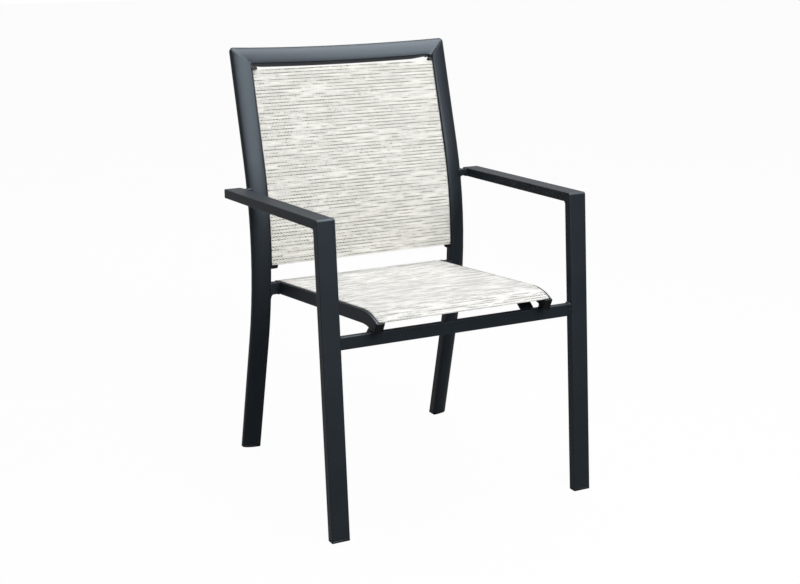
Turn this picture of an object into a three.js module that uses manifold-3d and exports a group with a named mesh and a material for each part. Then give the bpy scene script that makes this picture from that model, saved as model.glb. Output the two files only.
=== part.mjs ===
// Stacking sling patio armchair: welded aluminium frame with a slung back and a slung seat.
// Millimetres, +Z up. X = 0 is the plane of symmetry, -Y is the chair's front.
// Y is first measured from the front face of the front legs at arm height; the whole chair is then centred.
import * as THREE from 'three';
import Module from 'manifold-3d';

// Fits shared by all the joints
const TOUCH_GAP = 0.3; // space kept between two pieces that touch
const WALL = 1.6; // wall of every tube
const DEG = Math.PI / 180;

// Arm and front leg tube
const ARM_WIDTH = 38;
const ARM_THICK = 19;
const ARM_CORNER = 1.8;
const ARM_STUB_LONG = 12.2; // from the upright's outer edge to the arm's inner face, at the arm's rear
const ARM_TOP_FRONT = 622.5;
const ARM_TOP_REAR = 605.2;
const ARM_PAST_UPRIGHT = 19.6; // arm's rear end behind the upright's front inner corner
const ARM_SPLAY = 10.8; // how much further out the arm is at its rear end
const LEG_RUN = 51.9; // how far the foot of a front leg stands in front of its top
const ARM_CAP_THICK = 3;

// Front rail between the front legs
const FRONT_RAIL_TALL = 25.4;
const FRONT_RAIL_DEEP = 12.7;
const FRONT_RAIL_CORNER = 1.5;

// Upright section: flat inner side, flat back, front face that rounds back to a thin outer edge
const UPRIGHT_WIDTH = 37.5;
const UPRIGHT_DEEP = 25;
const UPRIGHT_DROP = 15; // how far the front face falls back at the outer edge
const UPRIGHT_EDGE_ROUND = 4;
const UPRIGHT_SMALL_ROUND = 1.4;
// Upright path, followed by the front inner corner of the section
const UPRIGHT_FOOT_Y = 492.3;
const UPRIGHT_LOW_LEAN = 13.4 * DEG;
const UPRIGHT_TOP_LEAN = 16.9 * DEG;
const UPRIGHT_BEND_START = 264;
const UPRIGHT_BEND_RADIUS = 766;
const UPRIGHT_BEND_STEPS = 10;
const UPRIGHT_FOOT_HALF = 223.4; // inner side from the middle, at the floor
const UPRIGHT_SPLAY = 0.0056; // each millimetre up brings it this much nearer the middle
const FRAME_INNER_TOP = 859; // height of the inner front corner under the top rail
const TOP_RAIL_BOW = 28; // how far the middle of the top rail is bowed back
const TOP_RAIL_STEPS = 20;

// Seat rails
const RAIL_WIDTH = 17;
const RAIL_TALL = 27.3; // on the outer side
const RAIL_INNER_TALL = 24.3; // on the inner side, where the underside rises
const RAIL_LOW_ROUND = 3;
const RAIL_INNER_ROUND = 5;
const RAIL_TOP_ROUND = 1.6;
const RAIL_PAST_UPRIGHT = 18.7; // rail's rear end behind the upright's front inner corner
const RAIL_REAR_TOP = 398.3;
const RAIL_SLOPE = 0.0905; // the seat rises this much per millimetre towards the front
const RAIL_BEND_Y = 25; // where the rail starts to turn down
const RAIL_BEND_RADIUS = 125;
const RAIL_FRONT_Y = -44; // front of the end cap
const RAIL_END_TILT = 26 * DEG;
const RAIL_BEND_STEPS = 7;
const RAIL_TOE_IN = 7.7; // how much nearer the middle the front end is than the rear end
const RAIL_CAP_THICK = 3;

// Grooves that hold the cloth, and the rods inside them
const GROOVE_LIP = 1.6;
const GROOVE_MOUTH = 2.2;
const GROOVE_RADIUS = 2.8;
const GROOVE_FROM_FRONT = 4.4; // groove centre behind the upright's front face
const GROOVE_FROM_OUTER = 5.8; // groove centre from the seat rail's outer face
const ROD_RADIUS = GROOVE_RADIUS - TOUCH_GAP;

// Cloth
const CLOTH_THICK = 1;
const BACK_CLOTH_OVER_SEAT = 40; // back cloth's lower edge above the seat rail's rear end
const BACK_CLOTH_UNDER_RAIL = 14;
const SEAT_CLOTH_SHORT_REAR = 1; // rail left bare past the cloth's edge
const SEAT_CLOTH_SHORT_FRONT = 4.5;

// Groove end plugs
const PLUG_LONG = 12.6;
const PLUG_TALL = 7;
const PLUG_DEEP = 8;
const PLUG_ROUND = 4;
const PLUG_NECK = 1.4;
const PLUG_STEM = 10;

// Stubs, cross tube, spreader and its brackets
const SEAT_STUB_TALL = 25.4;
const SEAT_STUB_DEEP = 17;
const SEAT_STUB_LONG = 17.8; // from the seat rail's outer face to the upright
const ARM_STUB_TALL = 15;
const ARM_STUB_DEEP = 12;
const ARM_STUB_INSET = 2.1; // stub's rear face in front of the arm's rear end
const SPREADER_TALL = 11.5;
const SPREADER_DEEP = 20;
const SPREADER_BEHIND_RAIL = 9.2; // spreader's front behind the front rail
const SPREADER_UNDER_SEAT = 23.4; // spreader's underside below the seat rail's top
const SPREADER_CORNER = 4;
const BRACKET_WIDE = 30;
const BRACKET_THICK = 5;
const BRACKET_INSET = 4; // blade's front behind the spreader's front
const BRACKET_FROM_RAIL = 18.9; // blade's middle from the seat rail's inner face, at its top
const BRACKET_SLANT = 0.606; // each millimetre down puts it this much further out
const BRACKET_FOOT_TALL = 12;
const BRACKET_FOOT_UNDER = 9; // foot's top below the front rail's top
const BLOCK_WIDE = 6;
const BLOCK_DEEP = 8.5;
const BLOCK_TALL = 10;
const BLOCK_INSET = 2.2; // block's outer face inside the rail's outer face

// Foot glides
const GLIDE_TALL = 4;
const PLUG_IN = 16; // length of the part pushed into a tube

const GRAPHITE = 0x262b2f;
const BLACK_PLASTIC = 0x0d0e10;
const CLOTH_BACK = 0xdbd9cf;
const CLOTH_SEAT = 0xe2e1dc;
const ROD_PLASTIC = 0x1a1b1c;

const wasm = await Module();
wasm.setup();

// Geometry to manifold and back
function toManifold(geometry) {
  const source = geometry.clone();
  source.deleteAttribute('normal');
  source.deleteAttribute('uv');
  const position = source.getAttribute('position');
  const keys = new Map();
  const vertices = [];
  const remap = [];
  for (let i = 0; i < position.count; i++) {
    const p = [position.getX(i), position.getY(i), position.getZ(i)];
    const key = p.map((c) => Math.round(c * 1e4)).join(',');
    if (!keys.has(key)) {
      keys.set(key, vertices.length / 3);
      vertices.push(...p);
    }
    remap.push(keys.get(key));
  }
  const index = source.index ? Array.from(source.index.array) : remap.map((_, i) => i);
  const triangles = [];
  for (let i = 0; i < index.length; i += 3) {
    const [a, b, c] = [remap[index[i]], remap[index[i + 1]], remap[index[i + 2]]];
    if (a !== b && b !== c && c !== a) triangles.push(a, b, c);
  }
  return new wasm.Manifold(new wasm.Mesh({
    numProp: 3,
    vertProperties: new Float32Array(vertices),
    triVerts: new Uint32Array(triangles),
  }));
}

function fromManifold(solid) {
  const mesh = solid.getMesh();
  const geometry = new THREE.BufferGeometry();
  const position = new Float32Array(mesh.numVert * 3);
  for (let i = 0; i < mesh.numVert; i++) {
    for (let k = 0; k < 3; k++) position[i * 3 + k] = mesh.vertProperties[i * mesh.numProp + k];
  }
  geometry.setAttribute('position', new THREE.BufferAttribute(position, 3));
  geometry.setIndex(new THREE.BufferAttribute(new Uint32Array(mesh.triVerts), 1));
  return geometry;
}

const subtract = (a, ...tools) => fromManifold(tools.reduce((s, t) => s.subtract(toManifold(t)), toManifold(a)));
const unite = (a, ...others) => fromManifold(others.reduce((s, t) => s.add(toManifold(t)), toManifold(a)));
const intersect = (a, b) => fromManifold(toManifold(a).intersect(toManifold(b)));

// A big block on one side of a plane, used to trim
const TRIM_SPAN = 4 * FRAME_INNER_TOP;
function halfSpace(point, normal) {
  const block = new THREE.BoxGeometry(TRIM_SPAN, TRIM_SPAN, TRIM_SPAN);
  block.translate(0, 0, TRIM_SPAN / 2);
  const turn = new THREE.Quaternion().setFromUnitVectors(new THREE.Vector3(0, 0, 1), normal.clone().normalize());
  block.applyQuaternion(turn);
  block.translate(point.x, point.y, point.z);
  return block;
}
// Removes what lies beyond the plane, on the side that the normal points to
const trim = (geometry, point, normal) => subtract(geometry, halfSpace(point, normal));

function mirrored(geometry) {
  const copy = (geometry.index ? geometry.toNonIndexed() : geometry.clone());
  copy.applyMatrix4(new THREE.Matrix4().makeScale(-1, 1, 1));
  const position = copy.getAttribute('position');
  for (let i = 0; i < position.count; i += 3) {
    for (const axis of ['X', 'Y', 'Z']) {
      const held = position[`get${axis}`](i + 1);
      position[`set${axis}`](i + 1, position[`get${axis}`](i + 2));
      position[`set${axis}`](i + 2, held);
    }
  }
  copy.deleteAttribute('normal');
  copy.deleteAttribute('uv');
  return fromManifold(toManifold(copy));
}

// A path in the YZ plane through given stations: section x stays along X, section y is square to the path
class PlanarPath extends THREE.Curve {
  constructor(stations) {
    super();
    this.stations = stations;
  }
  getPoint(t) {
    const [y, z] = this.stations[Math.round(t * (this.stations.length - 1))];
    return new THREE.Vector3(0, y, z);
  }
  getPointAt(u) {
    return this.getPoint(u);
  }
  computeFrenetFrames() {
    const tangents = [];
    const normals = [];
    const binormals = [];
    for (const [, , lean] of this.stations) {
      const tangent = new THREE.Vector3(0, Math.sin(lean), Math.cos(lean));
      const normal = new THREE.Vector3(1, 0, 0);
      tangents.push(tangent);
      normals.push(normal);
      binormals.push(new THREE.Vector3().crossVectors(tangent, normal));
    }
    return { tangents, normals, binormals };
  }
}

// Stations are [y, z, lean], lean being the path's angle from +Z towards +Y
function sweep(shape, stations) {
  return new THREE.ExtrudeGeometry(shape, {
    steps: stations.length - 1,
    extrudePath: new PlanarPath(stations),
    curveSegments: 1,
    bevelEnabled: false,
  });
}

function shapeOf(points, hole) {
  const shape = new THREE.Shape(points.map(([x, y]) => new THREE.Vector2(x, y)));
  if (hole) shape.holes.push(new THREE.Path(hole.map(([x, y]) => new THREE.Vector2(x, y))));
  return shape;
}

function arcPoints(cx, cy, r, from, to, count) {
  const points = [];
  for (let i = 0; i <= count; i++) {
    const a = from + ((to - from) * i) / count;
    points.push([cx + r * Math.cos(a), cy + r * Math.sin(a)]);
  }
  return points;
}

const ROUND_STEPS = 3;
function roundedRect(x0, y0, x1, y1, r) {
  const q = Math.PI / 2;
  return [
    ...arcPoints(x1 - r, y0 + r, r, -q, 0, ROUND_STEPS),
    ...arcPoints(x1 - r, y1 - r, r, 0, q, ROUND_STEPS),
    ...arcPoints(x0 + r, y1 - r, r, q, 2 * q, ROUND_STEPS),
    ...arcPoints(x0 + r, y0 + r, r, 2 * q, 3 * q, ROUND_STEPS),
  ];
}

// Rectangular tube along +Z from z0 to z1, centred on x = 0, y = 0
function tubeAlongZ(width, thick, corner, z0, z1) {
  const outer = roundedRect(-width / 2, -thick / 2, width / 2, thick / 2, corner);
  const inner = roundedRect(-width / 2 + WALL, -thick / 2 + WALL, width / 2 - WALL, thick / 2 - WALL, corner / 2);
  const geometry = new THREE.ExtrudeGeometry(shapeOf(outer, inner), { depth: z1 - z0, bevelEnabled: false, curveSegments: 1 });
  geometry.translate(0, 0, z0);
  return geometry;
}
function barAlongZ(width, thick, corner, z0, z1) {
  const outer = roundedRect(-width / 2, -thick / 2, width / 2, thick / 2, corner);
  const geometry = new THREE.ExtrudeGeometry(shapeOf(outer), { depth: z1 - z0, bevelEnabled: false, curveSegments: 1 });
  geometry.translate(0, 0, z0);
  return geometry;
}
function box(x0, y0, z0, x1, y1, z1) {
  const geometry = new THREE.BoxGeometry(x1 - x0, y1 - y0, z1 - z0);
  geometry.translate((x0 + x1) / 2, (y0 + y1) / 2, (z0 + z1) / 2);
  return geometry;
}

// Upright section, x outwards from the inner side, y back from the front face
const FRONT_ANGLES = [0, 16, 31, 44, 56, 67, 77, 90];
const GROOVE_SIDES = 8;
function grooveAlongX(wallX, centreY, inward) {
  // mouth in the wall x = wallX, round channel behind it, listed from high y to low y
  const half = GROOVE_MOUTH / 2;
  const open = Math.asin(half / GROOVE_RADIUS);
  const cx = wallX + inward * (GROOVE_LIP + GROOVE_RADIUS * Math.cos(open));
  const start = inward > 0 ? Math.PI - open : open;
  const end = inward > 0 ? -Math.PI + open : 2 * Math.PI - open;
  return [
    [wallX, centreY + half],
    ...arcPoints(cx, centreY, GROOVE_RADIUS, start, end, GROOVE_SIDES),
    [wallX, centreY - half],
  ];
}
function uprightOutline({ grow = 0, groove = true }) {
  const a = UPRIGHT_WIDTH + grow;
  const b = UPRIGHT_DROP;
  const r = UPRIGHT_EDGE_ROUND + grow;
  const s = UPRIGHT_SMALL_ROUND;
  const back = UPRIGHT_DEEP + grow;
  const q = Math.PI / 2;
  const front = FRONT_ANGLES.map((deg) => [a * Math.sin(deg * DEG), b * (1 - Math.cos(deg * DEG)) - grow]).slice(1);
  return [
    [s, -grow],
    ...front,
    ...arcPoints(a - r, back - r, r, 0, q, ROUND_STEPS),
    ...arcPoints(s - grow, back - s, s, q, 2 * q, 1),
    ...(groove ? grooveAlongX(-grow, GROOVE_FROM_FRONT, 1) : []),
    [-grow, s],
  ];
}
// The upright's hollow, with the metal round the groove left standing
function uprightHollow({ shrink = 0, groove = true }) {
  const w = WALL + shrink;
  const a = UPRIGHT_WIDTH - w;
  const r = UPRIGHT_EDGE_ROUND - WALL;
  const back = UPRIGHT_DEEP - w;
  const grooveSide = GROOVE_LIP + 2 * GROOVE_RADIUS + w;
  const grooveBack = GROOVE_FROM_FRONT + GROOVE_RADIUS + w;
  const inner = groove ? grooveSide : w;
  const front = FRONT_ANGLES
    .map((deg) => [a * Math.sin(deg * DEG), UPRIGHT_DROP * (1 - Math.cos(deg * DEG)) + w])
    .filter(([x]) => x > inner + ROD_RADIUS);
  const drop = UPRIGHT_DROP * (1 - Math.sqrt(1 - (inner / a) ** 2)) + w;
  return [
    [inner, drop],
    ...front,
    ...arcPoints(a - r, back - r, r, 0, Math.PI / 2, ROUND_STEPS),
    [w, back],
    ...(groove ? [[w, grooveBack], [inner, grooveBack]] : []),
  ];
}

// Stations of one line from one value of a coordinate to another, the ends taken on the line's own chords
function between(line, axis, from, to) {
  const sign = Math.sign(line[line.length - 1][axis] - line[0][axis]);
  const at = (value) => {
    const i = Math.max(1, line.findIndex((s) => sign * (s[axis] - value) >= 0));
    const [a, b] = [line[i - 1], line[i]];
    const t = (value - a[axis]) / (b[axis] - a[axis]);
    return a.map((c, k) => c + t * (b[k] - c));
  };
  const inside = line.filter((s) => sign * (s[axis] - from) > TOUCH_GAP && sign * (to - s[axis]) > TOUCH_GAP);
  return [at(from), ...inside, at(to)];
}
// The same stations moved along the section's own y
const offset = (stations, v) => stations.map(([y, z, lean]) => [y + v * Math.cos(lean), z - v * Math.sin(lean), lean]);

const uprightTopZ = FRAME_INNER_TOP + 2 * UPRIGHT_WIDTH;
const uprightLine = [];
{
  const footY = UPRIGHT_FOOT_Y + UPRIGHT_DEEP * Math.tan(UPRIGHT_LOW_LEAN);
  uprightLine.push([footY, -UPRIGHT_DEEP, -UPRIGHT_LOW_LEAN]);
  const bendY = UPRIGHT_FOOT_Y - UPRIGHT_BEND_START * Math.tan(UPRIGHT_LOW_LEAN);
  for (let i = 0; i <= UPRIGHT_BEND_STEPS; i++) {
    const lean = -UPRIGHT_LOW_LEAN + ((UPRIGHT_TOP_LEAN + UPRIGHT_LOW_LEAN) * i) / UPRIGHT_BEND_STEPS;
    uprightLine.push([
      bendY + UPRIGHT_BEND_RADIUS * (Math.cos(UPRIGHT_LOW_LEAN) - Math.cos(lean)),
      UPRIGHT_BEND_START + UPRIGHT_BEND_RADIUS * (Math.sin(UPRIGHT_LOW_LEAN) + Math.sin(lean)),
      lean,
    ]);
  }
  const [endY, endZ] = uprightLine[uprightLine.length - 1];
  uprightLine.push([endY + (uprightTopZ - endZ) * Math.tan(UPRIGHT_TOP_LEAN), uprightTopZ, UPRIGHT_TOP_LEAN]);
}
const uprightStations = (fromZ, toZ) => between(uprightLine, 1, fromZ, toZ);
const uprightAt = (z) => between(uprightLine, 1, z, uprightTopZ)[0];
const uprightInnerAt = (z) => UPRIGHT_FOOT_HALF - z * UPRIGHT_SPLAY;

// Places that follow from the uprights
const ARM_REAR_Y = uprightAt(ARM_TOP_REAR)[0] + ARM_PAST_UPRIGHT;
const ARM_OUTER_HALF = uprightInnerAt(ARM_TOP_REAR) + UPRIGHT_WIDTH + ARM_STUB_LONG + ARM_WIDTH - ARM_SPLAY;
const RAIL_REAR_Y = uprightAt(RAIL_REAR_TOP)[0] + RAIL_PAST_UPRIGHT;
const RAIL_REAR_OUTER = uprightInnerAt(RAIL_REAR_TOP) - SEAT_STUB_LONG;
const SEAT_STUB_FRONT = RAIL_REAR_Y - SEAT_STUB_DEEP - TOUCH_GAP;
const ARM_STUB_REAR = ARM_REAR_Y - ARM_STUB_INSET;
const BACK_CLOTH_BOTTOM = RAIL_REAR_TOP + BACK_CLOTH_OVER_SEAT;
const BACK_CLOTH_TOP = FRAME_INNER_TOP - BACK_CLOTH_UNDER_RAIL;
const SEAT_CLOTH_REAR = RAIL_REAR_Y - SEAT_CLOTH_SHORT_REAR;
const SEAT_CLOTH_FRONT = RAIL_FRONT_Y + SEAT_CLOTH_SHORT_FRONT;

// Seat rail section, x outwards from the inner face, y up, the top at y = 0
function railOutline({ grow = 0, groove = true }) {
  const q = Math.PI / 2;
  const topRound = RAIL_TOP_ROUND;
  const right = RAIL_WIDTH + grow;
  const grooveX = RAIL_WIDTH - GROOVE_FROM_OUTER;
  const notch = grooveAlongX(0, 0, 1).map(([depth, across]) => [grooveX + across, grow - depth]);
  return [
    ...arcPoints(RAIL_INNER_ROUND - grow, RAIL_INNER_ROUND - RAIL_INNER_TALL - grow, RAIL_INNER_ROUND, 2 * q, 3 * q, ROUND_STEPS),
    ...arcPoints(right - RAIL_LOW_ROUND, RAIL_LOW_ROUND - RAIL_TALL - grow, RAIL_LOW_ROUND, 3 * q, 4 * q, ROUND_STEPS),
    ...arcPoints(right - topRound, grow - topRound, topRound, 0, q, 2),
    ...(groove ? notch : []),
    ...arcPoints(topRound - grow, grow - topRound, topRound, q, 2 * q, 2),
  ];
}
function railHollow(shrink = 0) {
  const w = WALL + shrink;
  const channelInner = RAIL_WIDTH - GROOVE_FROM_OUTER - GROOVE_RADIUS - w;
  const channelLow = -GROOVE_LIP - 2 * GROOVE_RADIUS - w;
  return [
    [w, -RAIL_INNER_TALL + RAIL_INNER_ROUND],
    [RAIL_INNER_ROUND, -RAIL_INNER_TALL + w],
    [RAIL_WIDTH - w - RAIL_LOW_ROUND / 2, -RAIL_TALL + w],
    [RAIL_WIDTH - w, -RAIL_TALL + w + RAIL_LOW_ROUND / 2],
    [RAIL_WIDTH - w, channelLow],
    [channelInner, channelLow],
    [channelInner, -w],
    [w, -w],
  ];
}

// The seat rail's top line: straight from the rear, then turning down past the front end
const railPastEnd = RAIL_FRONT_Y - RAIL_TALL / 2;
const railPastRear = RAIL_REAR_Y + RAIL_TALL;
const railLine = [];
{
  const pitch = Math.atan(RAIL_SLOPE);
  const topAt = (y) => RAIL_REAR_TOP + (RAIL_REAR_Y - y) * RAIL_SLOPE;
  railLine.push([railPastRear, topAt(railPastRear), -Math.PI / 2 + pitch]);
  const centreY = RAIL_BEND_Y - RAIL_BEND_RADIUS * Math.sin(pitch);
  const centreZ = topAt(RAIL_BEND_Y) - RAIL_BEND_RADIUS * Math.cos(pitch);
  const last = Math.asin((centreY - railPastEnd) / RAIL_BEND_RADIUS);
  for (let i = 0; i <= RAIL_BEND_STEPS; i++) {
    const fall = -pitch + ((last + pitch) * i) / RAIL_BEND_STEPS;
    railLine.push([centreY - RAIL_BEND_RADIUS * Math.sin(fall), centreZ + RAIL_BEND_RADIUS * Math.cos(fall), -Math.PI / 2 - fall]);
  }
}
const railStations = (fromY, toY) => between(railLine, 0, fromY, toY);
const railPoint = (y) => between(railLine, 0, y, railPastEnd)[0];

// Placement of the right side's pieces; the left side mirrors them
const RAIL_TOE = Math.atan(RAIL_TOE_IN / (RAIL_REAR_Y - RAIL_FRONT_Y));
const railInnerAt = (y) => RAIL_REAR_OUTER - RAIL_WIDTH - (RAIL_REAR_Y - y) * Math.tan(RAIL_TOE);
const rightUprightMatrix = new THREE.Matrix4().makeRotationY(-Math.atan(UPRIGHT_SPLAY)).setPosition(UPRIGHT_FOOT_HALF, 0, 0);
const rightRailMatrix = new THREE.Matrix4().makeTranslation(RAIL_REAR_OUTER - RAIL_WIDTH, RAIL_REAR_Y, 0)
  .multiply(new THREE.Matrix4().makeRotationZ(-RAIL_TOE))
  .multiply(new THREE.Matrix4().makeTranslation(0, -RAIL_REAR_Y, 0));

const chair = new THREE.Group();
chair.name = 'sling_patio_chair';
const centred = new THREE.Group();
chair.add(centred);

function material(color, roughness, metalness) {
  return new THREE.MeshStandardMaterial({ color, roughness, metalness });
}
const FINISHES = {
  frame: () => material(GRAPHITE, 0.5, 0.35),
  plastic: () => material(BLACK_PLASTIC, 0.55, 0),
  rod: () => material(ROD_PLASTIC, 0.6, 0),
  back: () => material(CLOTH_BACK, 0.95, 0),
  seat: () => material(CLOTH_SEAT, 0.95, 0),
};

function addMesh(name, geometry, finish, matrix) {
  const ready = geometry.clone();
  ready.computeVertexNormals();
  const mesh = new THREE.Mesh(ready, FINISHES[finish]());
  mesh.name = name;
  if (matrix) {
    matrix.decompose(mesh.position, mesh.quaternion, mesh.scale);
    mesh.scale.set(1, 1, 1);
  }
  centred.add(mesh);
  return mesh;
}
// Adds the right piece and its mirror image on the left; geometry is in the right piece's own space
function addPair(name, geometry, finish, matrix = new THREE.Matrix4()) {
  addMesh(`${name}_right`, geometry, finish, matrix);
  const position = new THREE.Vector3();
  const turn = new THREE.Quaternion();
  matrix.decompose(position, turn, new THREE.Vector3());
  const mirrorTurn = new THREE.Quaternion(turn.x, -turn.y, -turn.z, turn.w);
  const mirrorMatrix = new THREE.Matrix4().compose(
    new THREE.Vector3(-position.x, position.y, position.z), mirrorTurn, new THREE.Vector3(1, 1, 1));
  addMesh(`${name}_left`, mirrored(geometry), finish, mirrorMatrix);
}

// Back uprights, which run on down as the rear legs, and the top rail, mitred together
const [innerTopY, innerTopZ] = uprightAt(FRAME_INNER_TOP);
const frameUp = new THREE.Vector3(0, Math.sin(UPRIGHT_TOP_LEAN), Math.cos(UPRIGHT_TOP_LEAN));
const frameBack = new THREE.Vector3(0, Math.cos(UPRIGHT_TOP_LEAN), -Math.sin(UPRIGHT_TOP_LEAN));
const mitrePoint = new THREE.Vector3(uprightInnerAt(FRAME_INNER_TOP), innerTopY, innerTopZ);
const mitreNormal = frameUp.clone().sub(new THREE.Vector3(1, 0, 0)).normalize(); // towards the top rail
const seamHalf = TOUCH_GAP / 2;
{
  let upright = sweep(shapeOf(uprightOutline({}), uprightHollow({})), uprightStations(-UPRIGHT_DEEP, uprightTopZ));
  upright.applyMatrix4(rightUprightMatrix);
  upright = trim(upright, mitrePoint.clone().addScaledVector(mitreNormal, -seamHalf), mitreNormal);
  upright = trim(upright, new THREE.Vector3(0, 0, GLIDE_TALL + TOUCH_GAP), new THREE.Vector3(0, 0, -1));
  upright.applyMatrix4(rightUprightMatrix.clone().invert());
  addPair('back_upright', upright, 'frame', rightUprightMatrix);
}

// The top rail lies along X: its own Z is the chair's -X, its own X points up the frame, its own Y back
const railMatrix = new THREE.Matrix4().makeBasis(frameUp, frameBack, new THREE.Vector3(-1, 0, 0));
railMatrix.setPosition(0, innerTopY, innerTopZ);
const topRailHalf = uprightInnerAt(FRAME_INNER_TOP) + UPRIGHT_WIDTH;
const bowAt = (z) => {
  const reach = Math.min(Math.abs(z) / topRailHalf, 1);
  const ease_share = 0.16; // end share of the half length over which the bow fades in
  const arc = 1 - reach * reach;
  const fade = Math.min((1 - reach) / ease_share, 1);
  return TOP_RAIL_BOW * arc * fade * (2 - fade);
};
function topRailStations() {
  const stations = [];
  const step = (2 * topRailHalf) / TOP_RAIL_STEPS;
  for (let i = -1; i <= TOP_RAIL_STEPS + 1; i++) {
    const z = -topRailHalf + i * step;
    const slope = (bowAt(z + ROD_RADIUS) - bowAt(z - ROD_RADIUS)) / (2 * ROD_RADIUS);
    stations.push([bowAt(z), z, Math.atan(Math.abs(z) >= topRailHalf - TOUCH_GAP ? 0 : slope)]);
  }
  return stations;
}
{
  let rail = sweep(shapeOf(uprightOutline({ groove: false }), uprightHollow({ groove: false })), topRailStations());
  rail.applyMatrix4(railMatrix);
  for (const side of [1, -1]) {
    const point = mitrePoint.clone().addScaledVector(mitreNormal, seamHalf);
    const away = mitreNormal.clone().negate();
    point.x *= side;
    away.x *= side;
    rail = trim(rail, point, away);
  }
  rail.applyMatrix4(railMatrix.clone().invert());
  addMesh('top_rail', rail, 'frame', railMatrix);
}

// Side loops: front legs and arms, mitred at the arm's front corner
const legRake = Math.atan(LEG_RUN / ARM_TOP_FRONT);
const armFall = Math.atan((ARM_TOP_FRONT - ARM_TOP_REAR) / ARM_REAR_Y);
const armSplay = Math.atan(ARM_SPLAY / ARM_REAR_Y);
const loopCorner = new THREE.Vector3(0, 0, ARM_TOP_FRONT);
// the mitre runs from the outer corner down to where the leg's rear face meets the arm's underside
const legRearAt = (z) => -LEG_RUN * (1 - z / ARM_TOP_FRONT) + ARM_THICK / Math.cos(legRake);
const armUnderAt = (y) => ARM_TOP_FRONT - y * Math.tan(armFall) - ARM_THICK / Math.cos(armFall);
let cornerZ = armUnderAt(ARM_THICK);
for (let i = 0; i < 8; i++) cornerZ = armUnderAt(legRearAt(cornerZ));
const mitreLine = new THREE.Vector3(0, legRearAt(cornerZ), cornerZ).sub(loopCorner).normalize();
const loopNormal = new THREE.Vector3(1, 0, 0).cross(mitreLine).normalize(); // square to the mitre
if (loopNormal.y < 0) loopNormal.negate(); // towards the arm
const legX = ARM_OUTER_HALF - ARM_WIDTH / 2;
{
  // leg: own Z runs up the rake, own Y back
  const legMatrix = new THREE.Matrix4().makeTranslation(legX, 0, ARM_TOP_FRONT)
    .multiply(new THREE.Matrix4().makeRotationX(-legRake))
    .multiply(new THREE.Matrix4().makeTranslation(0, ARM_THICK / 2, 0));
  let leg = tubeAlongZ(ARM_WIDTH, ARM_THICK, ARM_CORNER, -ARM_TOP_FRONT - 2 * ARM_THICK, ARM_THICK);
  leg.applyMatrix4(legMatrix);
  leg = trim(leg, loopCorner.clone().addScaledVector(loopNormal, -seamHalf), loopNormal);
  leg = trim(leg, new THREE.Vector3(0, 0, GLIDE_TALL + TOUCH_GAP), new THREE.Vector3(0, 0, -1));
  leg.applyMatrix4(legMatrix.clone().invert());
  addPair('front_leg', leg, 'frame', legMatrix);

  // foot glide: a pad under the tube with a plug pushed up inside it
  let pad = barAlongZ(ARM_WIDTH, ARM_THICK, ARM_CORNER, -ARM_TOP_FRONT - 2 * ARM_THICK, -ARM_TOP_FRONT / 2);
  pad.applyMatrix4(legMatrix);
  pad = trim(pad, new THREE.Vector3(0, 0, GLIDE_TALL), new THREE.Vector3(0, 0, 1));
  const grip = WALL + TOUCH_GAP;
  let plug = barAlongZ(ARM_WIDTH - 2 * grip, ARM_THICK - 2 * grip, ARM_CORNER / 2, -ARM_TOP_FRONT - 2 * ARM_THICK, -ARM_TOP_FRONT / 2);
  plug.applyMatrix4(legMatrix);
  plug = trim(plug, new THREE.Vector3(0, 0, GLIDE_TALL + PLUG_IN), new THREE.Vector3(0, 0, 1));
  let glide = trim(unite(pad, plug), new THREE.Vector3(0, 0, 0), new THREE.Vector3(0, 0, -1));
  glide.applyMatrix4(legMatrix.clone().invert());
  addPair('front_glide', glide, 'plastic', legMatrix);
}
// arm: own Z runs to the rear, own Y down
const armMatrix = new THREE.Matrix4().makeTranslation(ARM_OUTER_HALF, 0, ARM_TOP_FRONT)
  .multiply(new THREE.Matrix4().makeRotationZ(-armSplay))
  .multiply(new THREE.Matrix4().makeRotationX(-Math.PI / 2 - armFall))
  .multiply(new THREE.Matrix4().makeTranslation(-ARM_WIDTH / 2, ARM_THICK / 2, 0));
const armLong = ARM_REAR_Y / Math.cos(armFall) / Math.cos(armSplay);
{
  let arm = tubeAlongZ(ARM_WIDTH, ARM_THICK, ARM_CORNER, -ARM_THICK, armLong - ARM_CAP_THICK - TOUCH_GAP);
  arm.applyMatrix4(armMatrix);
  arm = trim(arm, loopCorner.clone().addScaledVector(loopNormal, seamHalf), loopNormal.clone().negate());
  arm.applyMatrix4(armMatrix.clone().invert());
  addPair('arm', arm, 'frame', armMatrix);

  // arm end cap: plate with a plug in the tube
  const grip = WALL + TOUCH_GAP;
  const plate = barAlongZ(ARM_WIDTH, ARM_THICK, ARM_CORNER, armLong - ARM_CAP_THICK, armLong);
  const plug = barAlongZ(ARM_WIDTH - 2 * grip, ARM_THICK - 2 * grip, ARM_CORNER / 2, armLong - PLUG_IN, armLong - ARM_CAP_THICK / 2);
  addPair('arm_cap', unite(plate, plug), 'plastic', armMatrix);
}

// Rear foot glides: pad with the upright's outline and a plug in its hollow
{
  let pad = sweep(shapeOf(uprightOutline({ groove: false })), uprightStations(-UPRIGHT_DEEP, 2 * PLUG_IN));
  pad.applyMatrix4(rightUprightMatrix);
  pad = trim(pad, new THREE.Vector3(0, 0, GLIDE_TALL), new THREE.Vector3(0, 0, 1));
  let plug = sweep(shapeOf(uprightHollow({ shrink: TOUCH_GAP })), uprightStations(-UPRIGHT_DEEP, 2 * PLUG_IN));
  plug.applyMatrix4(rightUprightMatrix);
  plug = trim(plug, new THREE.Vector3(0, 0, GLIDE_TALL + PLUG_IN), new THREE.Vector3(0, 0, 1));
  let glide = trim(unite(pad, plug), new THREE.Vector3(0, 0, 0), new THREE.Vector3(0, 0, -1));
  glide.applyMatrix4(rightUprightMatrix.clone().invert());
  addPair('rear_glide', glide, 'plastic', rightUprightMatrix);
}

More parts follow.
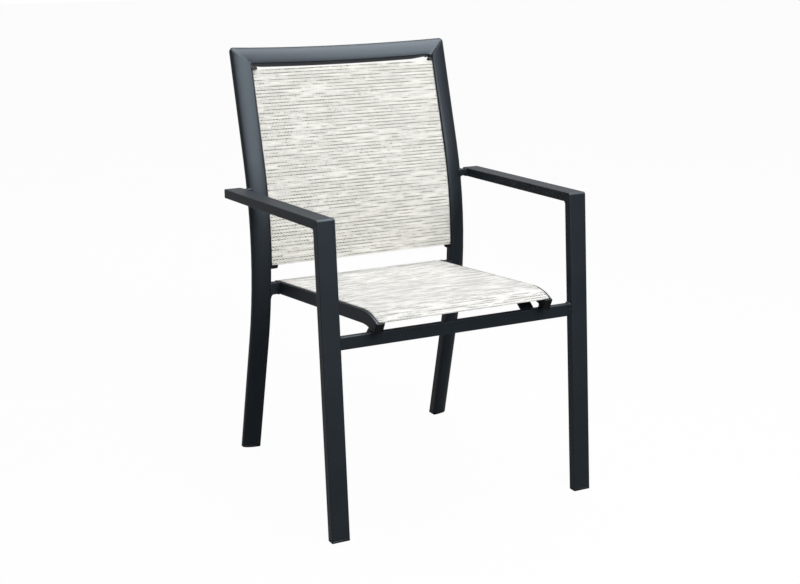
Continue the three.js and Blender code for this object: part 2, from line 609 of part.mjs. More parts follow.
// Front rail, between the inner faces of the front legs and flush with their rear faces
const frontRailTop = railPoint(legRearAt(RAIL_REAR_TOP) - FRONT_RAIL_DEEP / 2)[1] - RAIL_TALL - BLOCK_TALL;
const frontRailMid = frontRailTop - FRONT_RAIL_TALL / 2;
const frontRailRear = legRearAt(frontRailMid);
const frontRailY = frontRailRear - FRONT_RAIL_DEEP / 2;
{
  const half = ARM_OUTER_HALF - ARM_WIDTH - TOUCH_GAP;
  const alongX = new THREE.Matrix4().makeRotationY(Math.PI / 2).setPosition(0, frontRailY, frontRailMid);
  addMesh('front_rail', tubeAlongZ(FRONT_RAIL_TALL, FRONT_RAIL_DEEP, FRONT_RAIL_CORNER, -half, half), 'frame', alongX);
}

// Seat rails: straight, then turned down at the front, with a capped end
const railEndPoint = new THREE.Vector3(0, RAIL_FRONT_Y, RAIL_REAR_TOP);
railEndPoint.z = railPoint(RAIL_FRONT_Y)[1];
const railEndNormal = new THREE.Vector3(0, -Math.cos(RAIL_END_TILT), -Math.sin(RAIL_END_TILT));
const capInner = railEndPoint.clone().addScaledVector(railEndNormal, -RAIL_CAP_THICK);
const railSolid = (outline, from = RAIL_REAR_Y) => sweep(shapeOf(outline), railStations(from, railPastEnd));
{
  let rail = sweep(shapeOf(railOutline({}), railHollow()), railStations(RAIL_REAR_Y, railPastEnd));
  rail = trim(rail, capInner.clone().addScaledVector(railEndNormal, -TOUCH_GAP), railEndNormal);
  addPair('seat_rail', rail, 'frame', rightRailMatrix);

  // front end cap: plate that closes the end, with a plug in the rail's hollow
  const plate = trim(railSolid(railOutline({ groove: false })), railEndPoint, railEndNormal);
  const plug = trim(railSolid(railHollow(TOUCH_GAP)), railEndPoint.clone().addScaledVector(railEndNormal, -RAIL_CAP_THICK / 2), railEndNormal);
  const slab = halfSpace(capInner, railEndNormal);
  const deepSlab = halfSpace(capInner.clone().addScaledVector(railEndNormal, -PLUG_IN), railEndNormal);
  addPair('seat_rail_cap', unite(intersect(plate, slab), intersect(plug, deepSlab)), 'plastic', rightRailMatrix);

  // rear end plug of the seat rail
  const rearPlate = sweep(shapeOf(railOutline({ groove: false })), [railPoint(RAIL_REAR_Y + TOUCH_GAP + RAIL_CAP_THICK), railPoint(RAIL_REAR_Y + TOUCH_GAP)]);
  const rearPlug = sweep(shapeOf(railHollow(TOUCH_GAP)), [railPoint(RAIL_REAR_Y + RAIL_CAP_THICK), railPoint(RAIL_REAR_Y - PLUG_IN)]);
  addPair('seat_rail_plug', unite(rearPlate, rearPlug), 'plastic', rightRailMatrix);
}

// Stubs between the seat rails and the uprights, and the cross tube between the rails
const stubTop = railPoint(SEAT_STUB_FRONT + SEAT_STUB_DEEP)[1];
const stubMidY = SEAT_STUB_FRONT + SEAT_STUB_DEEP / 2;
const stubMidZ = stubTop - SEAT_STUB_TALL / 2;
const alongXAt = (y, z) => new THREE.Matrix4().makeRotationY(Math.PI / 2).setPosition(0, y, z);
{
  const inner = railInnerAt(SEAT_STUB_FRONT + SEAT_STUB_DEEP) + RAIL_WIDTH + TOUCH_GAP;
  const outer = uprightInnerAt(stubTop) - TOUCH_GAP;
  const stub = tubeAlongZ(SEAT_STUB_TALL, SEAT_STUB_DEEP, FRONT_RAIL_CORNER, inner, outer);
  addPair('seat_stub', stub, 'frame', alongXAt(stubMidY, stubMidZ));
  const half = railInnerAt(SEAT_STUB_FRONT) - TOUCH_GAP;
  addMesh('rear_cross_tube', tubeAlongZ(SEAT_STUB_TALL, SEAT_STUB_DEEP, FRONT_RAIL_CORNER, -half, half), 'frame', alongXAt(stubMidY, stubMidZ));
}

// Stub between each arm and its upright, coped to the upright's rounded face
{
  const armUnder = armUnderAt(ARM_STUB_REAR);
  const stubZ = armUnder + ARM_THICK / 2;
  const armInner = ARM_OUTER_HALF - ARM_WIDTH + (ARM_STUB_REAR - ARM_STUB_DEEP) * Math.tan(armSplay) - TOUCH_GAP;
  const reach = uprightInnerAt(stubZ) + UPRIGHT_WIDTH / 2;
  const stub = barAlongZ(ARM_STUB_TALL, ARM_STUB_DEEP, FRONT_RAIL_CORNER, reach, armInner);
  const matrix = alongXAt(ARM_STUB_REAR - ARM_STUB_DEEP / 2, stubZ);
  stub.applyMatrix4(matrix);
  const near = sweep(shapeOf(uprightOutline({ grow: TOUCH_GAP, groove: false })), uprightStations(UPRIGHT_BEND_START, uprightTopZ));
  near.applyMatrix4(rightUprightMatrix);
  const coped = subtract(stub, near);
  coped.applyMatrix4(matrix.clone().invert());
  addPair('arm_stub', coped, 'frame', matrix);
}

// Blocks that carry the seat rails on the front rail, coped to the rail's underside
{
  const outer = railInnerAt(frontRailY) + RAIL_WIDTH - BLOCK_INSET;
  const top = frontRailTop + RAIL_TALL;
  const front = frontRailRear - FRONT_RAIL_DEEP;
  const block = box(outer - BLOCK_WIDE, front, frontRailTop + TOUCH_GAP, outer, front + BLOCK_DEEP, top);
  const near = railSolid(railOutline({ grow: TOUCH_GAP, groove: false }));
  near.applyMatrix4(rightRailMatrix);
  const upper = halfSpace(new THREE.Vector3(0, 0, frontRailTop + RAIL_TALL / 2), new THREE.Vector3(0, 0, 1));
  addPair('rail_block', subtract(block, near, upper), 'frame');
}

// Spreader under the front of the seat, and the slanted brackets that carry it on the front rail
{
  const front = frontRailRear + SPREADER_BEHIND_RAIL;
  const half = railInnerAt(front) - TOUCH_GAP;
  const bottom = railPoint(front)[1] - SPREADER_UNDER_SEAT;
  addMesh('seat_spreader', tubeAlongZ(SPREADER_TALL, SPREADER_DEEP, SPREADER_CORNER, -half, half), 'frame', alongXAt(front + SPREADER_DEEP / 2, bottom + SPREADER_TALL / 2));

  const footTop = frontRailTop - BRACKET_FOOT_UNDER;
  const low = footTop - BRACKET_FOOT_TALL;
  const top = bottom - TOUCH_GAP;
  const bladeFront = front + BRACKET_INSET;
  const xAt = (level) => half - BRACKET_FROM_RAIL + (bottom - level) * BRACKET_SLANT;
  const blade = new THREE.ExtrudeGeometry(shapeOf([
    [xAt(low) - BRACKET_WIDE / 2, low],
    [xAt(low) + BRACKET_WIDE / 2, low],
    [xAt(top) + BRACKET_WIDE / 2, top],
    [xAt(top) - BRACKET_WIDE / 2, top],
  ]), { depth: BRACKET_THICK, bevelEnabled: false });
  blade.rotateX(Math.PI / 2);
  blade.translate(0, bladeFront + BRACKET_THICK, 0);
  const footX = xAt(footTop);
  const foot = box(footX - BRACKET_WIDE / 2 + TOUCH_GAP, frontRailRear + TOUCH_GAP, low, footX + BRACKET_WIDE / 2 - TOUCH_GAP, bladeFront + BRACKET_THICK / 2, footTop);
  addPair('spreader_bracket', unite(blade, foot), 'frame');
}

// Cloth of the back: a sheet that follows the uprights, cut to their taper
const clothMid = GROOVE_FROM_FRONT;
function sheetProfile(stations, low, high) {
  const side = (v) => offset(stations, v).map(([y, z]) => [y, z]);
  return [...side(low), ...side(high).reverse()];
}
function acrossX(profile, half) {
  // profile is in (y, z); the sheet runs from -half to +half in x
  const geometry = new THREE.ExtrudeGeometry(shapeOf(profile), { depth: 2 * half, bevelEnabled: false });
  const place = new THREE.Matrix4().makeBasis(new THREE.Vector3(0, 1, 0), new THREE.Vector3(0, 0, 1), new THREE.Vector3(1, 0, 0));
  place.setPosition(-half, 0, 0);
  geometry.applyMatrix4(place);
  return geometry;
}
{
  const profile = sheetProfile(uprightStations(BACK_CLOTH_BOTTOM, BACK_CLOTH_TOP), clothMid - CLOTH_THICK / 2, clothMid + CLOTH_THICK / 2);
  const wide = acrossX(profile, UPRIGHT_FOOT_HALF);
  const halfAt = (z) => uprightInnerAt(z) - TOUCH_GAP;
  const [z0, z1] = [UPRIGHT_BEND_START, uprightTopZ];
  const taper = new THREE.ExtrudeGeometry(shapeOf([[-halfAt(z0), z0], [halfAt(z0), z0], [halfAt(z1), z1], [-halfAt(z1), z1]]), { depth: TRIM_SPAN, bevelEnabled: false });
  taper.rotateX(Math.PI / 2);
  taper.translate(0, TRIM_SPAN, 0);
  addMesh('back_sling', intersect(wide, taper), 'back');
}

// Cloth of the seat: a sheet just over the rails, out to their grooves
{
  const grooveHalfAt = (y) => railInnerAt(y) + RAIL_WIDTH - GROOVE_FROM_OUTER;
  const profile = sheetProfile(railStations(SEAT_CLOTH_REAR, SEAT_CLOTH_FRONT), TOUCH_GAP, TOUCH_GAP + CLOTH_THICK);
  const wide = acrossX(profile, RAIL_REAR_OUTER);
  const [y0, y1] = [RAIL_FRONT_Y - RAIL_TALL, RAIL_REAR_Y + RAIL_TALL];
  const plan = new THREE.ExtrudeGeometry(shapeOf([[-grooveHalfAt(y0), y0], [grooveHalfAt(y0), y0], [grooveHalfAt(y1), y1], [-grooveHalfAt(y1), y1]]), { depth: TRIM_SPAN, bevelEnabled: false });
  addMesh('seat_sling', intersect(wide, plan), 'seat');
}

// Rods that hold the cloth's hems in the grooves
const rodShape = (cx, cy) => shapeOf(arcPoints(cx, cy, ROD_RADIUS, 0, 2 * Math.PI, GROOVE_SIDES).slice(0, GROOVE_SIDES));
const channelDepth = GROOVE_LIP + Math.sqrt(GROOVE_RADIUS ** 2 - (GROOVE_MOUTH / 2) ** 2);
addPair('back_rod', sweep(rodShape(channelDepth, GROOVE_FROM_FRONT), uprightStations(BACK_CLOTH_BOTTOM + TOUCH_GAP, BACK_CLOTH_TOP - TOUCH_GAP)), 'rod', rightUprightMatrix);
addPair('seat_rod', sweep(rodShape(RAIL_WIDTH - GROOVE_FROM_OUTER, -channelDepth), railStations(SEAT_CLOTH_REAR, RAIL_FRONT_Y + 2 * RAIL_CAP_THICK + TOUCH_GAP)), 'rod', rightRailMatrix);

// Plugs in the ends of the back's grooves, seen just past the cloth's top and bottom edges
{
  const makePlug = (level, upward) => {
    // own space: x outwards from the upright's inner side, y back, z along the upright
    const q = Math.PI / 2;
    const z0 = TOUCH_GAP;
    const z1 = TOUCH_GAP + PLUG_TALL;
    const outline = [
      [-TOUCH_GAP, z0],
      [-TOUCH_GAP, z1],
      ...arcPoints(-PLUG_LONG + PLUG_ROUND, z1 - PLUG_ROUND, PLUG_ROUND, q, 2 * q, ROUND_STEPS),
      [-PLUG_LONG, z0],
    ].map(([x, z]) => [x, upward * z]);
    let body = new THREE.ExtrudeGeometry(shapeOf(outline), { depth: PLUG_DEEP, bevelEnabled: false });
    body.rotateX(Math.PI / 2);
    body.translate(0, GROOVE_FROM_FRONT + PLUG_DEEP / 2, 0);
    const [low, high] = upward > 0 ? [z0, z1] : [-z1, -z0];
    const neck = box(-TOUCH_GAP - PLUG_NECK, GROOVE_FROM_FRONT - PLUG_NECK / 2, low, channelDepth, GROOVE_FROM_FRONT + PLUG_NECK / 2, high);
    const stem = new THREE.CylinderGeometry(ROD_RADIUS, ROD_RADIUS, PLUG_STEM, GROOVE_SIDES);
    stem.rotateX(q);
    stem.translate(channelDepth, GROOVE_FROM_FRONT, upward * (z0 + PLUG_STEM / 2));
    body = unite(body, neck, stem);
    const [y, z, lean] = uprightAt(level);
    const matrix = rightUprightMatrix.clone()
      .multiply(new THREE.Matrix4().makeTranslation(0, y, z))
      .multiply(new THREE.Matrix4().makeRotationX(-lean));
    return [body, matrix];
  };
  const [upper, upperMatrix] = makePlug(BACK_CLOTH_TOP, 1);
  addPair('groove_plug_top', upper, 'plastic', upperMatrix);
  const [lower, lowerMatrix] = makePlug(BACK_CLOTH_BOTTOM, -1);
  addPair('groove_plug_bottom', lower, 'plastic', lowerMatrix);
}

// Centre the chair front to back
const reach = new THREE.Box3().setFromObject(centred, true);
centred.position.y = -(reach.min.y + reach.max.y) / 2;

export default chair;
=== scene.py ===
import math

import bmesh
import bpy
from mathutils import Matrix, Vector
from mathutils.kdtree import KDTree


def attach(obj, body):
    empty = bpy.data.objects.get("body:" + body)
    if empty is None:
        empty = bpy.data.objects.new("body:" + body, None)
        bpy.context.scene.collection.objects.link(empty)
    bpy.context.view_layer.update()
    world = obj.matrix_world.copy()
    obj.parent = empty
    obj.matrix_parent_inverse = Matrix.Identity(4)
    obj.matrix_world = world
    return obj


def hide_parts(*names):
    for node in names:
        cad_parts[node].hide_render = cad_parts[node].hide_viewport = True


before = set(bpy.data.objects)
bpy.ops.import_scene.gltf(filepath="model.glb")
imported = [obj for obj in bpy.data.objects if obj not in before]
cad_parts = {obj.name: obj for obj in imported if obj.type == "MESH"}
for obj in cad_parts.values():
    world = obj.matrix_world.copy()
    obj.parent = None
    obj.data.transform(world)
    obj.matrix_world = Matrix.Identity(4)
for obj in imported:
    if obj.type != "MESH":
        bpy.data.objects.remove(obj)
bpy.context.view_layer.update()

# ---------------------------------------------------------------------------------------------------------------------
# Studio: the camera stands left of the chair's front, a little above it, and looks down 15 degrees. The floor and the
# backdrop are plain white. Soft boxes in front, above and behind light the chair, and a wide ceiling panel shows only
# in the coat's gloss.
# ---------------------------------------------------------------------------------------------------------------------
CAMERA_PLACE = (-1.3417, -2.5962, 1.1748)
CAMERA_TILT = (math.radians(74.96), 0.0, math.radians(-27.47))
CAMERA_LENS, CAMERA_SENSOR = 64.31, 36.0      # in mm
CAMERA_FAR = 100.0
WHITE = (1.0, 1.0, 1.0, 1.0)
SKY_LIGHT = 0.16          # strength of the white surround where it only lights the chair
FLOOR_COLOUR = (0.86, 0.86, 0.86, 1.0)
FLOOR_HALF = 16.0
FLOOR_GLOW = 0.965        # share of the floor's white that doesn't depend on the lamps, so the rest is shadow
SOFT_BOXES = (            # name, centre, aimed at, width, height, watts, seen only in the gloss
    ("front_box", (0.30, -2.60, 2.30), (0.0, 0.20, 0.70), 2.40, 1.20, 68.0, False),
    ("top_box", (0.60, 0.20, 3.00), (0.0, 0.10, 0.50), 2.40, 2.00, 43.0, False),
    ("rear_box", (0.40, 2.80, 1.50), (0.0, 0.25, 0.60), 2.20, 1.20, 14.0, False),
    ("ceiling", (-0.50, -3.20, 3.30), (-0.50, -3.20, 0.0), 5.00, 8.20, 6900.0, True),
)

camera = bpy.data.objects.new("camera", bpy.data.cameras.new("camera"))
camera.location = CAMERA_PLACE
camera.rotation_euler = CAMERA_TILT
camera.data.lens = CAMERA_LENS
camera.data.sensor_width = CAMERA_SENSOR
camera.data.clip_end = CAMERA_FAR
bpy.context.scene.collection.objects.link(camera)
bpy.context.scene.camera = camera
bpy.context.scene.view_settings.view_transform = "Standard"

for name, centre, aim, width, height, watts, gloss_only in SOFT_BOXES:
    lamp = bpy.data.lights.new(name, "AREA")
    lamp.shape = "RECTANGLE"
    lamp.size, lamp.size_y = width, height
    lamp.energy = watts
    stand = bpy.data.objects.new(name, lamp)
    stand.location = centre
    stand.rotation_euler = (Vector(aim) - Vector(centre)).to_track_quat("-Z", "Y").to_euler()
    stand.visible_camera = False
    stand.visible_diffuse, stand.visible_glossy = not gloss_only, gloss_only
    bpy.context.scene.collection.objects.link(stand)


class NodeTree:
    """A tree of shader nodes. Each keyword of a node sets one of its inputs, or links an output to it."""

    def __init__(self, tree, output):
        self.tree = tree
        self.tree.nodes.clear()
        self.out = self.tree.nodes.new("ShaderNode" + output)

    def set(self, made, key, value):
        if isinstance(value, bpy.types.NodeSocket):
            self.tree.links.new(value, made.inputs[key])
        else:
            made.inputs[key].default_value = value

    def node(self, kind, settings=None, **inputs):
        made = self.tree.nodes.new("ShaderNode" + kind)
        for key, value in (settings or {}).items():
            setattr(made, key, value)
        for key, value in inputs.items():
            self.set(made, key.replace("_", " "), value)
        return made

    def math(self, operation, a, b=0.0, clamp=False):
        made = self.node("Math", {"operation": operation, "use_clamp": clamp})
        self.set(made, 0, a)
        self.set(made, 1, b)
        return made.outputs[0]

    def plus(self, a, b, clamp=False):
        return self.math("ADD", a, b, clamp)

    def times(self, a, b):
        return self.math("MULTIPLY", a, b)

    def over(self, a, b):
        return self.math("DIVIDE", a, b)

    def mapped(self, amount, start=0.0, end=1.0, low=0.0, high=1.0, curve="LINEAR"):
        """Turns a value from start to end into one from low to high."""
        made = self.node("MapRange", {"interpolation_type": curve}, Value=amount)
        for key, value in (("From Min", start), ("From Max", end), ("To Min", low), ("To Max", high)):
            made.inputs[key].default_value = value
        return made.outputs[0]

    def ramp(self, amount, stops):
        made = self.node("ValToRGB", Fac=amount)
        points = made.color_ramp.elements
        while len(points) < len(stops):
            points.new(0.5)
        for point, (place, colour) in zip(points, stops):
            point.position, point.color = place, (*colour, 1.0)
        return made.outputs["Color"]

    def mixed(self, share, first, second):
        """The first shader, and by its share the second."""
        made = self.node("MixShader")
        for key, value in enumerate((share, first.outputs[0], second.outputs[0])):
            self.set(made, key, value)
        return made

    def show(self, shader):
        self.set(self.out, "Surface", shader.outputs[0])


class Finish(NodeTree):
    """A material built from such nodes."""

    def __init__(self, name):
        self.material = bpy.data.materials.new(name)
        self.material.use_nodes = True
        super().__init__(self.material.node_tree, "OutputMaterial")


def seen_rays(tree):
    """1 for what the camera sees straight on, in a gloss or through a clear piece, else 0."""
    path = tree.node("LightPath")
    seen = tree.math("MAXIMUM", path.outputs["Is Camera Ray"], path.outputs["Is Glossy Ray"])
    return tree.math("MAXIMUM", seen, path.outputs["Is Transmission Ray"])


floor_white = Finish("floor_white")
floor_white.show(floor_white.mixed(floor_white.times(seen_rays(floor_white), FLOOR_GLOW),
                                   floor_white.node("BsdfDiffuse", Color=FLOOR_COLOUR),
                                   floor_white.node("Emission", Color=WHITE, Strength=1.0)))

floor_mesh = bpy.data.meshes.new("studio_floor")
bm = bmesh.new()
bmesh.ops.create_grid(bm, x_segments=8, y_segments=8, size=FLOOR_HALF)
bm.to_mesh(floor_mesh)
bm.free()
floor = bpy.data.objects.new("studio_floor", floor_mesh)
floor.data.materials.append(floor_white.material)
bpy.context.scene.collection.objects.link(floor)

world = bpy.data.worlds.new("studio")
world.use_nodes = True
bpy.context.scene.world = world
sky = NodeTree(world.node_tree, "OutputWorld")
sky.show(sky.mixed(seen_rays(sky), sky.node("Background", Color=WHITE, Strength=SKY_LIGHT),
                   sky.node("Background", Color=WHITE, Strength=1.0)))

# ---------------------------------------------------------------------------------------------------------------------
# Back uprights and top rail: one aluminium extrusion with a domed front and a flat inner side, bent into the two
# uprights, which run on down as rear legs, and bowed for the top rail. Mitred, welded flush, powder-coated graphite.
# ---------------------------------------------------------------------------------------------------------------------
COAT_DARK, COAT_LIGHT = (0.0022, 0.0046, 0.0075), (0.0040, 0.0068, 0.0102)
COAT_GRAIN = 950.0        # powder grains across a metre
COAT_ROUGH = (0.48, 0.54)
COAT_GLOSS = 0.065        # low, because the ceiling panel that shows in it is strong
COAT_TINT = (0.85, 0.93, 1.0, 1.0)
SAME_POINT = 1e-5         # the solids' triangles share corners within this distance
CREASE = math.radians(31)
MITRE_GAP = 0.0012        # the tubes' ends meet within this
SLANT = math.sqrt(0.5)    # the mitres are cut at about 45 degrees
ROUND_STEPS = 4           # cuts on each side of a mitre, to ease its corner round
BACK_ROUND = 0.0080       # how far from the back frame's mitres the easing reaches
CUT_WITHIN, ROUND_WITHIN = 0.2, 0.1      # the faces that are cut and the points that are moved lie this near a mitre
ON_CUT, EXACT = 1e-7, 1e-6               # what lies on a cut, and computed places that are the same
CORNER_DEEP = 0.0006      # a mitre's inner corner is this deep
TOP_LEAN = math.radians(16.9)            # the back's top leans to the rear by this
TOP_UP = Vector((0.0, math.sin(TOP_LEAN), math.cos(TOP_LEAN)))
TOP_BACK = Vector((0.0, TOP_UP.z, -TOP_UP.y))
TOP_FACE, TOP_BOW, TOP_HALF = 0.0138, 0.028, 0.2588    # the rail's front at its middle, its bow, half its length
LIP_LOW, LIP_HIGH = 0.8925, 0.8962       # the rail's underside, along TOP_UP
LIP_HALF, LIP_FADE, LIP_DEEP = 0.212, 0.020, 0.025     # half its length, where it fades out, and its depth
FRONT_LIP, REAR_LIP = 0.0004, -0.0032    # the underside drops to the rear, so that a dark edge shows under the face
BACK_TUBES = ("top_rail", "back_upright_left", "back_upright_right")

powder = Finish("graphite_powder_coat")
place = powder.node("TexCoord").outputs["Object"]
clouds = powder.node("TexNoise", Vector=place, Scale=9.0, Detail=3.0, Roughness=0.55)
grain = powder.node("TexNoise", Vector=place, Scale=COAT_GRAIN, Detail=2.0, Roughness=0.6)
pits = powder.node("TexVoronoi", Vector=place, Scale=COAT_GRAIN * 0.4)
mottle = powder.plus(powder.times(clouds.outputs["Fac"], 0.6), powder.times(grain.outputs["Fac"], 0.4))
relief = powder.plus(grain.outputs["Fac"], powder.times(pits.outputs["Distance"], 0.5))
bump = powder.node("Bump", Strength=0.22, Distance=0.0002, Height=relief)
powder.show(powder.node(
    "BsdfPrincipled",
    Base_Color=powder.ramp(mottle, ((0.35, COAT_DARK), (0.65, COAT_LIGHT))),
    Roughness=powder.mapped(clouds.outputs["Fac"], low=COAT_ROUGH[0], high=COAT_ROUGH[1]),
    Specular_IOR_Level=COAT_GLOSS,
    Specular_Tint=COAT_TINT,
    Normal=bump.outputs["Normal"],
))


def finished(name, bm, finish, slot, *nodes, smooth=CREASE):
    """Makes a piece from a bmesh, gives it its finish and lets it stand for the CAD nodes named."""
    mesh = bpy.data.meshes.new(name)
    bm.to_mesh(mesh)
    bm.free()
    mesh.materials.append(finish.material)
    mesh.polygons.foreach_set("use_smooth", [True] * len(mesh.polygons))
    mesh.set_sharp_from_angle(angle=smooth)
    piece = bpy.data.objects.new(name, mesh)
    bpy.context.scene.collection.objects.link(piece)
    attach(piece, "root")
    if nodes:
        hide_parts(*nodes)
    return piece


def solid_of(node):
    """A bmesh of a CAD node's solid with its triangles joined at their corners."""
    bm = bmesh.new()
    bm.from_mesh(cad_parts[node].data)
    bmesh.ops.remove_doubles(bm, verts=bm.verts, dist=SAME_POINT)
    return bm


def even_shading(piece):
    """Keeps the wide flat faces flat in the light and lets only the rounded corners turn."""
    piece.modifiers.new("even_shading", "WEIGHTED_NORMAL").keep_sharp = True


def with_parts(faces):
    """Faces with their edges and points, each once and always in the same order."""
    return list(dict.fromkeys([*faces, *(e for f in faces for e in f.edges), *(v for f in faces for v in f.verts)]))


def gathered(nodes):
    """The solids of several CAD nodes in one bmesh, and the layer that says which of them a point belongs to."""
    whole = bmesh.new()
    tube = whole.verts.layers.int.new("tube")
    for i, node in enumerate(nodes):
        one = solid_of(node)
        made = bpy.data.meshes.new(node + "_joint")
        one.to_mesh(made)
        one.free()
        start = len(whole.verts)
        whole.from_mesh(made)
        bpy.data.meshes.remove(made)
        whole.verts.ensure_lookup_table()
        for v in whole.verts[start:]:
            v[tube] = i
    return whole, tube


def joined(nodes, reach, inward=None):
    """Mitred tubes joined at their ends and eased round there, and toward inward the line in each mitre's corner."""
    whole, tube = gathered(nodes)
    corners = []
    for i in range(1, len(nodes)):
        # The mitre's middle, and the direction square to it, toward the first tube
        parts = [[v for v in whole.verts if v[tube] == k] for k in (0, i)]
        pairs = mitre_pairs(*parts)
        middle = sum((a.co + b.co for a, b in pairs), Vector()) / (2 * len(pairs))
        across = mitre_normal([(a.co + b.co) / 2 for a, b in pairs], middle)
        if sum((v.co for v in parts[0]), Vector()).dot(across) < middle.dot(across) * len(parts[0]):
            across = -across

        # Both tubes cut into slices there, so that the easing has points to move
        for step in [k / ROUND_STEPS for k in range(-ROUND_STEPS, ROUND_STEPS + 1) if k]:
            near = [f for f in whole.faces if any((v.co - middle).length < CUT_WITHIN for v in f.verts)]
            bmesh.ops.bisect_plane(whole, geom=with_parts(near), dist=ON_CUT,
                                   plane_co=middle + across * step * reach * SLANT, plane_no=across)

        # The two ends become one, and the walls' end faces between them go
        parts = [[v for v in whole.verts if v[tube] == k
                  and abs((v.co - middle).dot(across)) < reach * SLANT / ROUND_STEPS / 2] for k in (0, i)]
        pairs = mitre_pairs(*parts)
        seam = dict.fromkeys(b for _, b in pairs)
        bmesh.ops.weld_verts(whole, targetmap={a: b for a, b in pairs})
        bmesh.ops.delete(whole, geom=[f for f in whole.faces if all(v in seam for v in f.verts)],
                         context="FACES_ONLY")

        # The ways in which the tubes leave the mitre, and the line in its corner
        around = [v for v in whole.verts if (v.co - middle).length < ROUND_WITHIN]
        rims = [[v.co for v in around if abs((v.co - middle).dot(across) - side * reach * SLANT) < EXACT]
                for side in (1, -1)]
        centre = sum((v.co for v in seam), Vector()) / len(seam)
        ways = [(sum(rim, Vector()) / len(rim) - centre).normalized() for rim in rims]
        if inward:
            toward = Vector((math.copysign(inward[0], -middle.x), *inward[1:])).normalized()
            deepest = max(v.co.dot(toward) for v in seam)
            corner = [v for v in seam if deepest - v.co.dot(toward) < CORNER_DEEP]

        # The easing: near the mitre each point moves on to a curve from the one way to the other
        for v in around:
            along = (v.co - middle).dot(across) / SLANT
            if abs(along) < reach:
                kept = (max(along, 0.0), max(-along, 0.0))
                eased = ((reach + along) ** 2 / (4 * reach), (reach - along) ** 2 / (4 * reach))
                v.co += (eased[0] - kept[0]) * ways[0] + (eased[1] - kept[1]) * ways[1]
        if inward:
            corners.append(max(((a.co.copy(), b.co.copy()) for a in corner for b in corner),
                               key=lambda ends: (ends[0] - ends[1]).length))
    return whole, corners


def mitre_pairs(first, other):
    """The points of one tube's end and those of the other's that they meet."""
    found = KDTree(len(other))
    for i, v in enumerate(other):
        found.insert(v.co, i)
    found.balance()
    pairs, taken = [], set()
    for v in first:
        _, i, far = found.find(v.co)
        if far < MITRE_GAP and i not in taken:
            taken.add(i)
            pairs.append((v, other[i]))
    return pairs


def mitre_normal(points, middle):
    """The direction square to the plane that the points of a mitre lie in."""
    one = max(points, key=lambda p: (p - middle).length) - middle
    other = max(points, key=lambda p: (p - middle).cross(one).length) - middle
    return one.cross(other).normalized()


frame_mesh, _ = joined(BACK_TUBES, BACK_ROUND)
for v in frame_mesh.verts:
    if LIP_LOW < v.co.dot(TOP_UP) < LIP_HIGH and abs(v.co.x) < LIP_HALF:
        behind = v.co.dot(TOP_BACK) - TOP_FACE + TOP_BOW * (v.co.x / TOP_HALF) ** 2
        fade = min(1.0, (LIP_HALF - abs(v.co.x)) / LIP_FADE)
        v.co += TOP_UP * fade * (FRONT_LIP + (REAR_LIP - FRONT_LIP) * behind / LIP_DEEP)
even_shading(finished("back_frame", frame_mesh, powder, "frame_coat", *BACK_TUBES))

# ---------------------------------------------------------------------------------------------------------------------
# Arms, front legs and front rail: rectangular aluminium tube with rounded corners, mitred at the arm's front corner
# and welded, with the same coat. The arms slope down to the rear and the legs rake forward at the foot.
# ---------------------------------------------------------------------------------------------------------------------
MM = 0.001
SIDES = (("left", Vector((-1, 0, 0))), ("right", Vector((1, 0, 0))))
ARM_ROUND = 0.0045        # how far from the arms' mitres the easing reaches
ARM_BEAD, RAIL_BEAD, STUB_BEAD = 1.6, 2.4, 1.8      # weld beads' radii in mm
WELD_PITCH, WELD_STEPS = 0.0024, 4       # from one ripple of a weld bead to the next, and the steps that it has
WELD_RIPPLE, WELD_DRIFT = 0.10, 0.37     # the ripples' share of the radius, and the turn a step of a slower one
BEAD_SMOOTH = math.radians(80)
END_DEEP, END_TURNED = 0.0008, 0.6       # a flat end's faces lie this deep, and their normals turn to it this much
COPED_DEEP, COPED_TURNED = 0.008, 0.45   # the same for an end cut to fit a rounded tube


def end_outline(node, way, deep=END_DEEP, turned=END_TURNED):
    """The closed line round a tube's end on the side that faces way."""
    bm = solid_of(node)
    farthest = max(v.co.dot(way) for v in bm.verts)
    end = dict.fromkeys(f for f in bm.faces
                        if f.normal.dot(way) > turned and farthest - f.calc_center_median().dot(way) < deep)
    rim = [e for f in end for e in f.edges if sum(g in end for g in e.link_faces) == 1]
    lines = []
    while rim:
        edge = rim.pop()
        line = [edge.verts[0], edge.verts[1]]
        while line[-1] is not line[0]:
            edge = next((e for e in rim if line[-1] in e.verts), None)
            if edge is None:
                break
            rim.remove(edge)
            line.append(edge.other_vert(line[-1]))
        lines.append([v.co.copy() for v in line])
    bm.free()
    return max(lines, key=lambda points: sum((a - b).length for a, b in zip(points, points[1:])))


